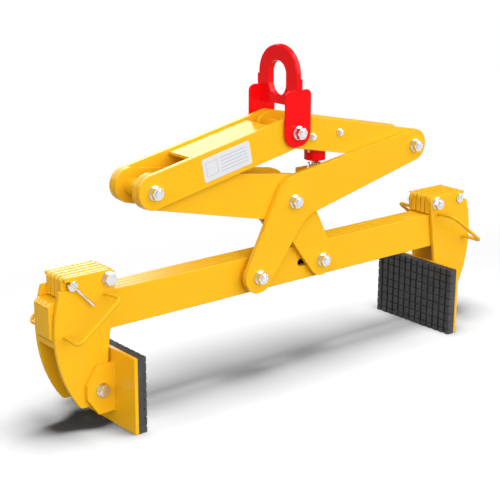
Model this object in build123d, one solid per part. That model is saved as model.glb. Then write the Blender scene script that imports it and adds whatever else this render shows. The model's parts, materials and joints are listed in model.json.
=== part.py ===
from build123d import *
from dataclasses import dataclass
from math import cos, radians, sin, sqrt
import os

# Block lifting clamp: a scissor grab for stone and concrete blocks, standing open on its two pads.
# X runs along the beam, Y runs through it with the front at -Y, Z goes up from the pad bottoms.
# All sizes are millimetres and degrees.

# Beam: four plates on edge, the inner pair sliding between the outer pair
RAIL_LENGTH = 1500.0
RAIL_DEPTH = 100.0
RAIL_PITCH = 17.5
RAIL_SEAM = 0.5
RAIL_CHAMFER = 10.0
RAIL_EDGE = 2.0
RAIL_Z = 296.0
SLOT_PLAY = 1.0

# Scissor: two bent arms crossing at the centre pivot, two straight links above them.
# The outer arm is one plate in front, the inner arm and the links are pairs of plates.
LEG_DROP = 190.0
LEG_SPREAD = 120.5
LINK_LENGTH = 468.0
OPEN_ANGLE = 11.65
CLOSING_ANGLE = 9.5
SCISSOR_PLATE = 15.0
LAYER_GAP = 0.75
ARM_END_RADIUS = 46.0
ELBOW_RADIUS = 65.0
ELBOW_SHIFT_X = 5.0
ELBOW_SHIFT_Z = 8.0
ELBOW_FILLET = 95.0
LINK_RADIUS = 45.0
COVER_BEGIN = 72.0
COVER_END = 330.0
COVER_TOP = 40.0
COVER_PLATE = 8.0
TUBE_RADIUS = 22.0

# Lifting eye: a thick plate across the beam, welded between two cheeks
EYE_PLATE = 18.5
EYE_RING_RADIUS = 77.0
EYE_RING_ABOVE_PIVOT = 148.5
EYE_SLOT_RADIUS = 35.3
EYE_SLOT_STRAIGHT = 25.0
EYE_FOOT_ABOVE_PIVOT = 68.5
EYE_SHOULDER_ABOVE_PIVOT = 141.0
EYE_SHOULDER_PROUD = 3.5
EYE_EDGE = 4.0
CHEEK_PLATE = 6.0
CHEEK_SPACER = 4.0
CHEEK_HALF_WIDTH = 44.5
CHEEK_ABOVE_PIVOT = 112.5
CHEEK_BELOW_PIVOT = 38.5
CHEEK_TOP_RADIUS = 16.0
CHEEK_BOTTOM_RADIUS = 38.0

# Latch that holds the scissor open: housing under the right link, pin on the outer arm
LATCH_OFFSET = 131.0
LATCH_MOUNT_OFFSET = 124.0
LATCH_MOUNT_LENGTH = 130.0
LATCH_MOUNT_HEIGHT = 26.0
LATCH_MOUNT_BELOW_PIVOT = 37.0
LATCH_BOLT_SPACING = 100.0
HOUSING_RADIUS = 30.0
HOUSING_HEIGHT = 65.0
HOUSING_ROOF = 14.0
HOUSING_LIP = 4.0
SLEEVE_RADIUS = 23.0
SLEEVE_WALL = 4.0
SLEEVE_HEIGHT = 37.0
SLEEVE_LEDGE = 6.0
SLEEVE_PLAY = 0.3
SLEEVE_SLOT_WIDTH = 17.0
LATCH_PIN_RADIUS = 13.0
LATCH_PIN_PLAY = 3.0
LATCH_HEAD_LENGTH = 34.0
LATCH_HEAD_WIDTH = 10.0
LATCH_HEAD_HEIGHT = 10.0
LATCH_HEAD_LIFT = 3.0
LATCH_COLLAR_FLATS = 36.0
LATCH_COLLAR_HEIGHT = 10.0
BRACKET_DROP = 21.0
BRACKET_HEIGHT = 22.0
BRACKET_LEFT_OFFSET = 80.0
BRACKET_HALF_DEPTH = 22.0
BRACKET_HALF_FOOT = 36.0

# Pads
PAD_GAP = 1100.0
PAD_WIDTH = 300.0
PAD_HEIGHT = 200.0
PAD_PLATE = 10.0
RUBBER_DEPTH = 25.0
RUBBER_PITCH = 24.0
GROOVE_DEPTH = 9.0
GROOVE_UPRIGHT = 5.8
GROOVE_LEVEL = 2.2
LUG_PLATE = 12.0
LUG_GAP = 0.75
LUG_REACH = 78.0
LUG_SHOULDER = 47.0
LUG_HALF_HEIGHT = 65.0
LUG_HALF_NOSE = 20.0
PAD_BOLT_BACK = 35.0
PAD_BOLT_Z = 101.0

# Jaws: distances back are measured outwards from the pad plate, heights from the beam
JAW_PLATE = 10.0
JAW_SIDE_GAP = 1.5
JAW_PAD_GAP = 5.0
JAW_LEAN = 0.146
JAW_ABOVE_RAIL = 58.0
JAW_FOOT_BELOW_BOLT = 42.0
JAW_FOOT_FRONT_BACK = 15.0
JAW_FOOT_BACK = 90.0
JAW_BELLY_BACK = 157.5
JAW_BELLY_BELOW_RAIL_CENTRE = 38.0
JAW_EAR_BACK = 139.0
JAW_EAR_BELOW_LOCK = 8.0
JAW_HOOK_BACK = 125.0
JAW_HOOK_CORNER = 5.0
JAW_CORNER = 20.0
JAW_FOOT_CORNER = 16.0
JAW_TIP_CORNER = 4.0
GUIDE_BOLT_BACK = 1.0
GUIDE_ABOVE_RAIL = 36.0
PACK_GAP = 3.0
PACK_BACK = 127.8
PACK_FRONT = 19.5
PACK_SEAM = 0.5
PACK_CORNER = 12.0
PACK_EDGE = 3.5
CROSS_BAR_BACK = 156.0
CROSS_BAR_LENGTH = 32.0
CROSS_BAR_HEIGHT = 14.0
CROSS_BAR_GAP = 0.3
HANDLE_ROD_RADIUS = 5.0
HANDLE_STANDOFF = 68.5
HANDLE_SPLAY = 5.0
HANDLE_BEND = 16.0
HANDLE_INNER_BACK = 13.0
HANDLE_INNER_ABOVE_RAIL_CENTRE = 51.0
HANDLE_OUTER_BACK = 130.0
HANDLE_OUTER_BELOW_RAIL_CENTRE = 37.0

# Lock pin with its turning rod
LOCK_BACK = 104.0
LOCK_RADIUS = 10.5
LOCK_PLAY = 0.75
LOCK_HEAD_RADIUS = 13.0
LOCK_HEAD = 6.0
LOCK_HEAD_GAP = 0.5
LOCK_COLLAR_RADIUS = 14.0
LOCK_DIMPLE_RADIUS = 5.5
LOCK_DIMPLE_DEPTH = 5.0
LOCK_ROD_RADIUS = 3.3
LOCK_ROD_TAIL = 13.0
LOCK_ROD_REACH = 79.0
LOCK_ROD_ANGLE = -47.0

# Edges and fits
PLATE_EDGE = 1.5
ROD_EDGE = 1.0
HOLE_PLAY = 0.4
FACE_PLAY = 0.2


@dataclass(frozen=True)
class Fastener:
    """Sizes of one bolt, its nut and its two washers."""

    radius: float
    across_flats: float
    head: float
    nut: float
    washer_radius: float
    washer: float
    past_nut: float


PIVOT = Fastener(
    radius=10.0,
    across_flats=30.0,
    head=12.5,
    nut=16.0,
    washer_radius=18.5,
    washer=3.0,
    past_nut=4.0,
)
SMALL = Fastener(
    radius=5.0,
    across_flats=16.0,
    head=6.4,
    nut=8.0,
    washer_radius=10.0,
    washer=2.0,
    past_nut=3.0,
)

# Depths of the layers, counted from the middle of the beam
RAIL_MID = RAIL_PITCH
RAIL_SIDE = 2 * RAIL_PITCH
RAIL_FACE = RAIL_SIDE - RAIL_SEAM / 2
INNER_LAYER = RAIL_SIDE + LAYER_GAP
INNER_LAYER_SIDE = INNER_LAYER + SCISSOR_PLATE
OUTER_LAYER = INNER_LAYER_SIDE + LAYER_GAP
OUTER_LAYER_SIDE = OUTER_LAYER + SCISSOR_PLATE
CHEEK = OUTER_LAYER_SIDE + CHEEK_SPACER + LAYER_GAP
CHEEK_SIDE = CHEEK + CHEEK_PLATE
JAW = RAIL_SIDE + JAW_SIDE_GAP
JAW_SIDE = JAW + JAW_PLATE
LUG = JAW_SIDE + LUG_GAP
LUG_SIDE = LUG + LUG_PLATE

# Pivots as (X, Z) points
LEFT_FOOT = Vector(-LEG_SPREAD, RAIL_Z)
RIGHT_FOOT = Vector(LEG_SPREAD, RAIL_Z)
CENTRE = Vector(0, RAIL_Z + LEG_DROP)
LINK_RUN = LINK_LENGTH * cos(radians(OPEN_ANGLE))
LINK_RISE = LINK_LENGTH * sin(radians(OPEN_ANGLE))
LEFT = CENTRE + Vector(-LINK_RUN, LINK_RISE)
RIGHT = CENTRE + Vector(LINK_RUN, LINK_RISE)
TOP = CENTRE + Vector(0, 2 * LINK_RISE)
CLOSING = radians(CLOSING_ANGLE)
CLOSING_TRAVEL = 2 * (LEG_SPREAD * (1 - cos(CLOSING)) + LEG_DROP * sin(CLOSING))

# Places on the left jaw
RAIL_TOP = RAIL_Z + RAIL_DEPTH / 2
RAIL_BOTTOM = RAIL_Z - RAIL_DEPTH / 2
PAD_FACE = -PAD_GAP / 2
RUBBER_BACK = PAD_FACE - RUBBER_DEPTH
PAD_BACK = RUBBER_BACK - PAD_PLATE
PAD_BOLT = Vector(PAD_BACK - PAD_BOLT_BACK, PAD_BOLT_Z)
GUIDE_BOLT = Vector(PAD_BACK - GUIDE_BOLT_BACK, RAIL_TOP + GUIDE_ABOVE_RAIL)
LOCK_PIN = Vector(PAD_BACK - LOCK_BACK, RAIL_TOP + GUIDE_ABOVE_RAIL)
JAW_TOP = RAIL_TOP + JAW_ABOVE_RAIL
JAW_FOOT = PAD_BOLT_Z - JAW_FOOT_BELOW_BOLT


def across(outline, near, far):
    """Solid with an (X, Z) outline that reaches from one depth to another."""
    return extrude(Plane.XZ.offset(-far) * outline, amount=far - near, dir=(0, -1, 0))


def plate(outline, near, far, edge=PLATE_EDGE):
    """Flat plate with its outer edges eased."""
    solid = across(outline, near, far)
    rims = []
    for face in solid.faces().filter_by(Axis.Y):
        rims.extend(face.outer_wire().edges())
    return fillet(rims, edge)


def plate_pair(outline, inner, outer, edge=PLATE_EDGE):
    """Two alike plates, the front one first, at equal depths either side of the middle."""
    return plate(outline, -outer, -inner, edge), plate(outline, inner, outer, edge)


def upright(outline, bottom, top):
    """Solid with an (X, Y) outline that reaches from one height to another."""
    return extrude(Plane.XY.offset(bottom) * outline, amount=top - bottom, dir=(0, 0, 1))


def disc(point, radius):
    """Round outline at an (X, Z) point."""
    return Pos(point.X, point.Y) * Circle(radius)


def hole(point, fastener):
    """Clearance hole for a bolt."""
    return disc(point, fastener.radius + HOLE_PLAY)


def eased_corner(outline, corner, radius):
    """Outline with the vertex nearest to a point rounded off."""
    vertex = outline.vertices().sort_by_distance(corner)[0]
    return fillet(vertex, radius)


def box_outline(left, right, bottom, top):
    """Rectangle between two X and two Z values."""
    return Polygon((left, bottom), (right, bottom), (right, top), (left, top))


def strap(start, start_radius, end, end_radius):
    """Flat bar outline: two round ends joined by their outer tangents."""
    span = end - start
    along = span.normalized()
    side = Vector(-along.Y, along.X)
    lean = (start_radius - end_radius) / span.length
    spread = sqrt(1 - lean * lean)
    upper = along * lean + side * spread
    lower = along * lean - side * spread
    a = start + upper * start_radius
    b = end + upper * end_radius
    c = end + lower * end_radius
    d = start + lower * start_radius
    head = ThreePointArc(b, end + along * end_radius, c)
    tail = ThreePointArc(d, start - along * start_radius, a)
    return make_face([Line(a, b).edge(), head.edge(), Line(c, d).edge(), tail.edge()])


def arm_outline(end, foot, shift_x):
    """Bent arm: a tapered upper bar and a leg meeting at a broad elbow round the centre pivot."""
    elbow = CENTRE + Vector(shift_x, ELBOW_SHIFT_Z)
    upper_bar = strap(elbow, ELBOW_RADIUS, end, ARM_END_RADIUS)
    leg = strap(elbow, ELBOW_RADIUS, foot, ARM_END_RADIUS)
    inward = ((end - elbow).normalized() + (foot - elbow).normalized()).normalized()
    outline = eased_corner(upper_bar + leg, elbow + inward * ELBOW_RADIUS, ELBOW_FILLET)
    for point in (end, CENTRE, foot):
        outline = outline - hole(point, PIVOT)
    return outline


def link_outline(end):
    """Straight link from the top pivot."""
    outline = strap(TOP, LINK_RADIUS, end, LINK_RADIUS)
    return outline - hole(TOP, PIVOT) - hole(end, PIVOT)


def cover_outline(end):
    """Recessed cross plate just under the top edge of a link."""
    along = (end - TOP).normalized()
    up = Vector(-along.Y, along.X)
    if up.Y < 0:
        up = up * -1
    low = COVER_TOP - COVER_PLATE
    return Polygon(
        TOP + along * COVER_BEGIN + up * low,
        TOP + along * COVER_END + up * low,
        TOP + along * COVER_END + up * COVER_TOP,
        TOP + along * COVER_BEGIN + up * COVER_TOP,
    )


def hexagon(point, near, far, fastener, face):
    """Hexagon nut or head with its corners turned off on the face side."""
    corner_radius = fastener.across_flats / sqrt(3)
    turned_off = corner_radius - fastener.across_flats / 2
    prism = Pos(point.X, point.Y) * RegularPolygon(fastener.across_flats / 2, 6, major_radius=False)
    blank = across(disc(point, corner_radius), near, far)
    rims = blank.edges().filter_by(GeomType.CIRCLE)
    rim = [edge for edge in rims if abs(edge.center().Y - face) < turned_off]
    blank = chamfer(rim, turned_off / 2, turned_off)
    return across(prism, near, far) & blank


def bolt(point, fastener, front, rear):
    """Hexagon bolt along Y with its head at the rear and its end showing past the nut in front."""
    nut_seat = -front - FACE_PLAY - fastener.washer
    head_seat = rear + FACE_PLAY + fastener.washer
    shank = across(disc(point, fastener.radius), nut_seat - fastener.nut - fastener.past_nut, head_seat)
    rim = shank.edges().filter_by(GeomType.CIRCLE).sort_by(Axis.Y)[0]
    shank = chamfer(rim, fastener.past_nut / 3)
    head_face = head_seat + fastener.head
    return shank + hexagon(point, head_seat, head_face, fastener, head_face)


def nut_set(point, fastener, front, rear):
    """Nut in front and a washer on each side, as three solids."""
    near = -front - FACE_PLAY
    far = rear + FACE_PLAY
    seat = near - fastener.washer
    nut = hexagon(point, seat - fastener.nut, seat, fastener, seat - fastener.nut)
    nut = nut - across(disc(point, fastener.radius), seat - fastener.nut, seat)
    ring = disc(point, fastener.washer_radius) - disc(point, fastener.radius)
    return [nut, across(ring, seat, near), across(ring, far, far + fastener.washer)]


def tube(point, near, far):
    """Distance tube round a pivot bolt."""
    return across(disc(point, TUBE_RADIUS) - disc(point, PIVOT.radius), near, far)


def rail_outline(pivot, slot_end):
    """Rail plate with a hole for its own pivot and a slot for the other pair's pivot."""
    half = RAIL_LENGTH / 2
    outline = Polygon(
        (-half, RAIL_BOTTOM + RAIL_CHAMFER),
        (-half + RAIL_CHAMFER, RAIL_BOTTOM),
        (half - RAIL_CHAMFER, RAIL_BOTTOM),
        (half, RAIL_BOTTOM + RAIL_CHAMFER),
        (half, RAIL_TOP - RAIL_CHAMFER),
        (half - RAIL_CHAMFER, RAIL_TOP),
        (-half + RAIL_CHAMFER, RAIL_TOP),
        (-half, RAIL_TOP - RAIL_CHAMFER),
    )
    inward = 1 if slot_end.X < 0 else -1
    middle = slot_end + Vector(inward * CLOSING_TRAVEL / 2, 0)
    slot = SlotCenterToCenter(CLOSING_TRAVEL + 2 * SLOT_PLAY, 2 * (PIVOT.radius + SLOT_PLAY))
    return outline - hole(pivot, PIVOT) - Pos(middle.X, middle.Y) * slot


def make_rails():
    """Outer and inner rail pairs with the bolts of their own pivots."""
    outer_outline = rail_outline(LEFT_FOOT, RIGHT_FOOT)
    inner_outline = rail_outline(RIGHT_FOOT, LEFT_FOOT)
    outer = plate_pair(outer_outline, RAIL_MID + RAIL_SEAM / 2, RAIL_FACE, RAIL_EDGE)
    inner = plate_pair(inner_outline, RAIL_SEAM / 2, RAIL_MID - RAIL_SEAM / 2, RAIL_EDGE)
    return {
        "outer_rail_front": outer[0],
        "outer_rail_rear": outer[1],
        "left_foot_bolt": bolt(LEFT_FOOT, PIVOT, OUTER_LAYER_SIDE, RAIL_FACE),
        "left_foot_nut_set": nut_set(LEFT_FOOT, PIVOT, OUTER_LAYER_SIDE, RAIL_FACE),
        "left_foot_ring": tube(LEFT_FOOT, FACE_PLAY - OUTER_LAYER, -RAIL_FACE),
        "inner_rail_front": inner[0],
        "inner_rail_rear": inner[1],
        "right_foot_bolt": bolt(RIGHT_FOOT, PIVOT, INNER_LAYER_SIDE, INNER_LAYER_SIDE),
        "right_foot_nut_set": nut_set(RIGHT_FOOT, PIVOT, INNER_LAYER_SIDE, INNER_LAYER_SIDE),
    }


def cheek_spacers():
    """Rings on the top pivot that keep the eye's cheeks clear of the links."""
    ring = disc(TOP, PIVOT.washer_radius) - disc(TOP, PIVOT.radius)
    near = OUTER_LAYER_SIDE + LAYER_GAP / 2
    far = near + CHEEK_SPACER
    return [across(ring, -far, -near), across(ring, near, far)]


def make_scissor():
    """Arms, links, covers and the pivots that join them."""
    outer_outline = arm_outline(RIGHT, LEFT_FOOT, ELBOW_SHIFT_X)
    inner_outline = arm_outline(LEFT, RIGHT_FOOT, -ELBOW_SHIFT_X)
    inner_arm = plate_pair(inner_outline, INNER_LAYER, INNER_LAYER_SIDE)
    left_link = plate_pair(link_outline(LEFT), OUTER_LAYER, OUTER_LAYER_SIDE)
    right_outline = link_outline(RIGHT)
    for point in latch_bolt_points():
        right_outline = right_outline - hole(point, SMALL)
    right_link = plate_pair(right_outline, INNER_LAYER, INNER_LAYER_SIDE)
    tube_side = INNER_LAYER - FACE_PLAY
    outer_arm_bolts = []
    outer_arm_nuts = []
    for point in (CENTRE, RIGHT):
        outer_arm_bolts.append(bolt(point, PIVOT, OUTER_LAYER_SIDE, INNER_LAYER_SIDE))
        outer_arm_nuts.extend(nut_set(point, PIVOT, OUTER_LAYER_SIDE, INNER_LAYER_SIDE))
    return {
        "outer_arm_plate": plate(outer_outline, -OUTER_LAYER_SIDE, -OUTER_LAYER),
        "outer_arm_bolts": outer_arm_bolts,
        "outer_arm_nut_sets": outer_arm_nuts,
        "outer_arm_tubes": [tube(point, -tube_side, tube_side) for point in (CENTRE, RIGHT)],
        "inner_arm_front": inner_arm[0],
        "inner_arm_rear": inner_arm[1],
        "left_pivot_bolt": bolt(LEFT, PIVOT, OUTER_LAYER_SIDE, OUTER_LAYER_SIDE),
        "left_pivot_nut_set": nut_set(LEFT, PIVOT, OUTER_LAYER_SIDE, OUTER_LAYER_SIDE),
        "left_pivot_tube": tube(LEFT, -tube_side, tube_side),
        "left_link_front": left_link[0],
        "left_link_rear": left_link[1],
        "left_link_cover": across(cover_outline(LEFT), -OUTER_LAYER, OUTER_LAYER),
        "top_pivot_bolt": bolt(TOP, PIVOT, CHEEK_SIDE, CHEEK_SIDE),
        "top_pivot_nut_set": nut_set(TOP, PIVOT, CHEEK_SIDE, CHEEK_SIDE) + cheek_spacers(),
        "top_pivot_tube": tube(TOP, -tube_side, tube_side),
        "right_link_front": right_link[0],
        "right_link_rear": right_link[1],
        "right_link_cover": across(cover_outline(RIGHT), -INNER_LAYER, INNER_LAYER),
    }


def make_eye():
    """Eye plate and its two cheeks."""
    ring_z = TOP.Y + EYE_RING_ABOVE_PIVOT
    foot_z = TOP.Y + EYE_FOOT_ABOVE_PIVOT
    cheek_z = TOP.Y + CHEEK_ABOVE_PIVOT
    shoulder_z = TOP.Y + EYE_SHOULDER_ABOVE_PIVOT
    shoulder = CHEEK_SIDE + EYE_SHOULDER_PROUD
    outline = Pos(0, ring_z) * Circle(EYE_RING_RADIUS)
    outline = outline + box_outline(-shoulder, shoulder, cheek_z, shoulder_z)
    outline = outline + box_outline(-CHEEK, CHEEK, foot_z, shoulder_z)
    slot = SlotCenterToCenter(EYE_SLOT_STRAIGHT, 2 * EYE_SLOT_RADIUS, rotation=90)
    outline = outline - Pos(0, ring_z - EYE_SLOT_STRAIGHT / 2) * slot
    eye = extrude(Plane.YZ.offset(-EYE_PLATE / 2) * outline, amount=EYE_PLATE, dir=(1, 0, 0))
    curves = eye.edges().filter_by(GeomType.CIRCLE)
    eye = fillet([edge for edge in curves if edge.radius > EYE_SLOT_RADIUS + 1], EYE_EDGE)
    bottom_z = TOP.Y - CHEEK_BELOW_PIVOT
    cheek = box_outline(-CHEEK_HALF_WIDTH, CHEEK_HALF_WIDTH, bottom_z, cheek_z)
    for side in (-CHEEK_HALF_WIDTH, CHEEK_HALF_WIDTH):
        cheek = eased_corner(cheek, Vector(side, cheek_z), CHEEK_TOP_RADIUS)
        cheek = eased_corner(cheek, Vector(side, bottom_z), CHEEK_BOTTOM_RADIUS)
    front, rear = plate_pair(cheek - hole(TOP, PIVOT), CHEEK, CHEEK_SIDE)
    return {"eye_plate": eye, "eye_cheek_front": front, "eye_cheek_rear": rear}


def latch_bolt_points():
    """Places of the two small bolts that hold the latch between the right link's plates."""
    z = TOP.Y - LATCH_MOUNT_BELOW_PIVOT + LATCH_MOUNT_HEIGHT / 2
    half = LATCH_BOLT_SPACING / 2
    return [Vector(LATCH_MOUNT_OFFSET - half, z), Vector(LATCH_MOUNT_OFFSET + half, z)]


def make_latch():
    """Latch housing, sleeve and mounting on the right link, pin and bracket on the outer arm."""
    mount_z = TOP.Y - LATCH_MOUNT_BELOW_PIVOT
    mount_left = LATCH_MOUNT_OFFSET - LATCH_MOUNT_LENGTH / 2
    mount_right = LATCH_MOUNT_OFFSET + LATCH_MOUNT_LENGTH / 2
    block = box_outline(mount_left, mount_right, mount_z, mount_z + LATCH_MOUNT_HEIGHT)
    bolts = []
    nuts = []
    for point in latch_bolt_points():
        block = block - hole(point, SMALL)
        bolts.append(bolt(point, SMALL, INNER_LAYER_SIDE, INNER_LAYER_SIDE))
        nuts.extend(nut_set(point, SMALL, INNER_LAYER_SIDE, INNER_LAYER_SIDE))
    foot_z = mount_z - HOUSING_HEIGHT
    sleeve_z = foot_z + HOUSING_LIP + SLEEVE_PLAY
    roof_z = mount_z - HOUSING_ROOF
    chamber = SLEEVE_RADIUS - SLEEVE_WALL
    housing = upright(Circle(HOUSING_RADIUS), foot_z, mount_z)
    housing = fillet(housing.edges().filter_by(GeomType.CIRCLE).sort_by(Axis.Z)[0], PLATE_EDGE)
    housing = housing - upright(Circle(chamber + 2 * SLEEVE_PLAY), foot_z, roof_z)
    housing = housing - upright(Circle(SLEEVE_RADIUS + SLEEVE_PLAY), foot_z + HOUSING_LIP, roof_z)
    sleeve = upright(Circle(SLEEVE_RADIUS), sleeve_z, sleeve_z + SLEEVE_HEIGHT)
    sleeve = sleeve - upright(Circle(chamber), sleeve_z + SLEEVE_LEDGE, sleeve_z + SLEEVE_HEIGHT)
    keyhole = Circle(LATCH_PIN_RADIUS + LATCH_PIN_PLAY)
    keyhole = keyhole + (Circle(chamber) & Rectangle(SLEEVE_SLOT_WIDTH, 2 * chamber))
    sleeve = sleeve - upright(keyhole, sleeve_z, sleeve_z + SLEEVE_LEDGE)
    bracket_z = foot_z - BRACKET_DROP
    head_z = sleeve_z + SLEEVE_LEDGE + LATCH_HEAD_LIFT
    pin = upright(Circle(LATCH_PIN_RADIUS), bracket_z, head_z + LATCH_HEAD_HEIGHT)
    head = Circle(LATCH_HEAD_LENGTH / 2) & Rectangle(LATCH_HEAD_WIDTH, LATCH_HEAD_LENGTH)
    pin = pin + upright(head, head_z, head_z + LATCH_HEAD_HEIGHT)
    collar = RegularPolygon(LATCH_COLLAR_FLATS / 2, 6, major_radius=False)
    pin = pin + upright(collar, bracket_z, bracket_z + LATCH_COLLAR_HEIGHT)
    right = LATCH_OFFSET + BRACKET_HALF_FOOT
    floor_z = bracket_z - BRACKET_HEIGHT
    arm_side = box_outline(LATCH_OFFSET - BRACKET_HALF_FOOT, right, floor_z, bracket_z)
    pin_side = box_outline(BRACKET_LEFT_OFFSET, right, floor_z, bracket_z)
    bracket = across(arm_side, -OUTER_LAYER, BRACKET_HALF_DEPTH)
    bracket = bracket + across(pin_side, -BRACKET_HALF_DEPTH, BRACKET_HALF_DEPTH)
    place = Pos(LATCH_OFFSET, 0, 0)
    return {
        "latch_mount": across(block, -INNER_LAYER, INNER_LAYER),
        "latch_bolts": bolts,
        "latch_nut_sets": nuts,
        "latch_housing": place * housing,
        "latch_sleeve": place * sleeve,
        "latch_pin": place * pin,
        "latch_bracket": bracket,
    }


def jaw_outline():
    """Side plate of the left jaw: hook and notch at the top, bowed back, leaning front."""
    notch = LOCK_RADIUS + LOCK_PLAY
    hook = PAD_BACK - JAW_HOOK_BACK
    knee = Vector(PAD_BACK - JAW_PAD_GAP, PAD_HEIGHT)
    top_front = knee + Vector(JAW_LEAN, 1) * (JAW_TOP - PAD_HEIGHT)
    foot_front = Vector(PAD_BACK - JAW_FOOT_FRONT_BACK, JAW_FOOT)
    foot_back = Vector(PAD_BACK - JAW_FOOT_BACK, JAW_FOOT)
    belly = Vector(PAD_BACK - JAW_BELLY_BACK, RAIL_Z - JAW_BELLY_BELOW_RAIL_CENTRE)
    ear = Vector(PAD_BACK - JAW_EAR_BACK, LOCK_PIN.Y - JAW_EAR_BELOW_LOCK)
    hook_top = Vector(hook, JAW_TOP)
    hook_tip = Vector(hook, LOCK_PIN.Y + notch)
    notch_top = LOCK_PIN + Vector(0, notch)
    notch_bottom = LOCK_PIN - Vector(0, notch)
    outline = make_face([
        Line(foot_back, foot_front).edge(),
        Line(foot_front, knee).edge(),
        Line(knee, top_front).edge(),
        Line(top_front, hook_top).edge(),
        Line(hook_top, hook_tip).edge(),
        Line(hook_tip, notch_top).edge(),
        ThreePointArc(notch_top, LOCK_PIN + Vector(notch, 0), notch_bottom).edge(),
        Line(notch_bottom, ear).edge(),
        ThreePointArc(ear, belly, foot_back).edge(),
    ])
    outline = eased_corner(outline, top_front, JAW_CORNER)
    for corner in (foot_front, foot_back):
        outline = eased_corner(outline, corner, JAW_FOOT_CORNER)
    for corner in (hook_top, hook_tip):
        outline = eased_corner(outline, corner, JAW_HOOK_CORNER)
    outline = eased_corner(outline, ear, JAW_TIP_CORNER)
    return outline - hole(GUIDE_BOLT, PIVOT) - hole(PAD_BOLT, PIVOT)


def guide_pack():
    """Four plates above the beam, between the side plates of the left jaw."""
    back = PAD_BACK - PACK_BACK
    front = PAD_BACK + PACK_FRONT
    outline = box_outline(back, front, RAIL_TOP + PACK_GAP, JAW_TOP)
    for corner in (back, front):
        outline = eased_corner(outline, Vector(corner, JAW_TOP), PACK_CORNER)
    outline = outline - hole(GUIDE_BOLT, PIVOT) - disc(LOCK_PIN, LOCK_RADIUS + LOCK_PLAY)
    pitch = JAW / 2
    plates = []
    for index in range(4):
        near = -JAW + index * pitch
        plates.append(plate(outline, near + PACK_SEAM / 2, near + pitch - PACK_SEAM / 2, PACK_EDGE))
    return plates


def handle():
    """Bent rod handle on the front side plate of the left jaw, with its legs splayed."""
    inner = Vector(PAD_BACK - HANDLE_INNER_BACK, RAIL_Z + HANDLE_INNER_ABOVE_RAIL_CENTRE)
    outer = Vector(PAD_BACK - HANDLE_OUTER_BACK, RAIL_Z - HANDLE_OUTER_BELOW_RAIL_CENTRE)
    splay = (outer - inner).normalized() * HANDLE_SPLAY
    root = splay * (HANDLE_ROD_RADIUS / HANDLE_STANDOFF)
    root_depth = -JAW_SIDE + HANDLE_ROD_RADIUS
    grip_depth = -JAW_SIDE - HANDLE_STANDOFF
    points = (
        (inner + root, root_depth),
        (inner - splay, grip_depth),
        (outer + splay, grip_depth),
        (outer - root, root_depth),
    )
    path = FilletPolyline(*[(point.X, depth, point.Y) for point, depth in points], radius=HANDLE_BEND)
    section = Plane(path @ 0, z_dir=path % 0) * Circle(HANDLE_ROD_RADIUS)
    margin = HANDLE_SPLAY + 2 * HANDLE_ROD_RADIUS
    room = box_outline(outer.X - margin, inner.X + margin, outer.Y - margin, inner.Y + margin)
    return sweep(section, path=path) & across(room, grip_depth - margin, -JAW_SIDE)


def lock_pin():
    """Pin through the jaw with a turning rod across its head and a dimpled collar on its far end."""
    seat = JAW_SIDE + LOCK_HEAD_GAP
    face = seat + LOCK_HEAD
    pin = across(disc(LOCK_PIN, LOCK_RADIUS), -face, face)
    head = across(disc(LOCK_PIN, LOCK_HEAD_RADIUS), -face, -seat)
    collar = across(disc(LOCK_PIN, LOCK_COLLAR_RADIUS), seat, face - ROD_EDGE)
    head = chamfer(head.edges().filter_by(GeomType.CIRCLE).sort_by(Axis.Y)[0], ROD_EDGE)
    collar = chamfer(collar.edges().filter_by(GeomType.CIRCLE).sort_by(Axis.Y)[-1], ROD_EDGE)
    along = Vector(cos(radians(LOCK_ROD_ANGLE)), sin(radians(LOCK_ROD_ANGLE)))
    tail = LOCK_PIN - along * LOCK_ROD_TAIL
    axis = Plane((tail.X, -face - LOCK_ROD_RADIUS / 2, tail.Y), z_dir=(along.X, 0, along.Y))
    rod = extrude(axis * Circle(LOCK_ROD_RADIUS), amount=LOCK_ROD_TAIL + LOCK_ROD_REACH)
    rod = fillet(rod.edges().filter_by(GeomType.CIRCLE), ROD_EDGE)
    dimple = Plane((LOCK_PIN.X, face, LOCK_PIN.Y), z_dir=(0, -1, 0))
    base = (Align.CENTER, Align.CENTER, Align.MIN)
    dimple = dimple * Cone(LOCK_DIMPLE_RADIUS, LOCK_DIMPLE_RADIUS / 4, LOCK_DIMPLE_DEPTH, align=base)
    return pin + head + collar + rod - dimple


def groove_places(extent):
    """Places of the rubber's grooves across an extent, measured from its middle."""
    count = int(extent / RUBBER_PITCH)
    return [(index - (count - 1) / 2) * RUBBER_PITCH for index in range(count)]


def rubber_pad():
    """Rubber facing of the left pad, cut into blocks by crossing grooves."""
    half = PAD_WIDTH / 2
    rubber = across(box_outline(RUBBER_BACK, PAD_FACE, 0, PAD_HEIGHT), -half, half)
    floor = PAD_FACE - GROOVE_DEPTH
    upright_groove = box_outline(floor, PAD_FACE, 0, PAD_HEIGHT)
    grooves = []
    for y in groove_places(PAD_WIDTH):
        grooves.append(across(upright_groove, y - GROOVE_UPRIGHT / 2, y + GROOVE_UPRIGHT / 2))
    for z in groove_places(PAD_HEIGHT):
        bottom = PAD_HEIGHT / 2 + z - GROOVE_LEVEL / 2
        level_groove = box_outline(floor, PAD_FACE, bottom, bottom + GROOVE_LEVEL)
        grooves.append(across(level_groove, -half, half))
    return rubber - grooves


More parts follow.
